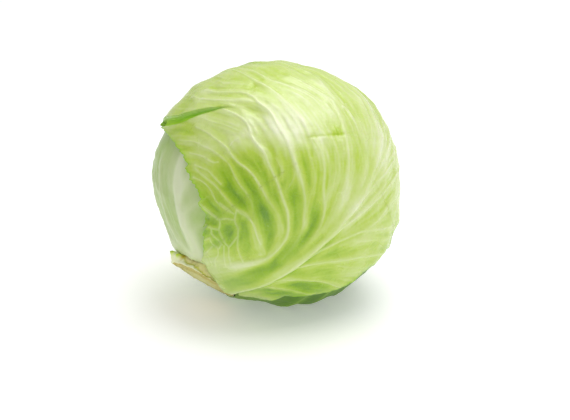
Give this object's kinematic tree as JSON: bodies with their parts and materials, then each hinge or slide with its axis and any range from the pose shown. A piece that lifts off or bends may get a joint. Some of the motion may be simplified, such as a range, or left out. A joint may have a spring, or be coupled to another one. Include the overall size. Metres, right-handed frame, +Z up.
{
  "type": "cabbage head",
  "caption": "Round green cabbage head lying on its side, with overlapping ribbed wrapper leaves, inner leaves and a cut stump.",
  "frame": {"origin": "bottom centre of the bounding box, in the middle of the flat spot that the head rests on", "axes": "+Z up; -Y towards the side seen in the picture, -X towards the cut stump"},
  "size_m": [0.1731, 0.172, 0.1677],
  "materials": {
    "front_wrapper_leaf": "satin",
    "bottom_wrapper_leaf": "satin",
    "left_wrapper_leaf": "satin",
    "back_wrapper_leaf": "satin",
    "outer_leaf": "satin",
    "inner_leaf": "satin",
    "heart_leaf": "satin",
    "heart_bud": "satin",
    "stem_core": "matte"
  },
  "bodies": {
    "root": {"front_wrapper_leaf": "front_wrapper_leaf", "bottom_wrapper_leaf": "bottom_wrapper_leaf", "left_wrapper_leaf": "left_wrapper_leaf", "back_wrapper_leaf": "back_wrapper_leaf", "outer_leaf_1": "outer_leaf", "outer_leaf_2": "outer_leaf", "outer_leaf_3": "outer_leaf", "outer_leaf_4": "outer_leaf", "inner_leaf_1": "inner_leaf", "inner_leaf_2": "inner_leaf", "inner_leaf_3": "inner_leaf", "inner_leaf_4": "inner_leaf", "heart_leaf_1": "heart_leaf", "heart_leaf_2": "heart_leaf", "heart_leaf_3": "heart_leaf", "heart_bud": "heart_bud", "stem_core": "stem_core"}
  },
  "joints": []
}
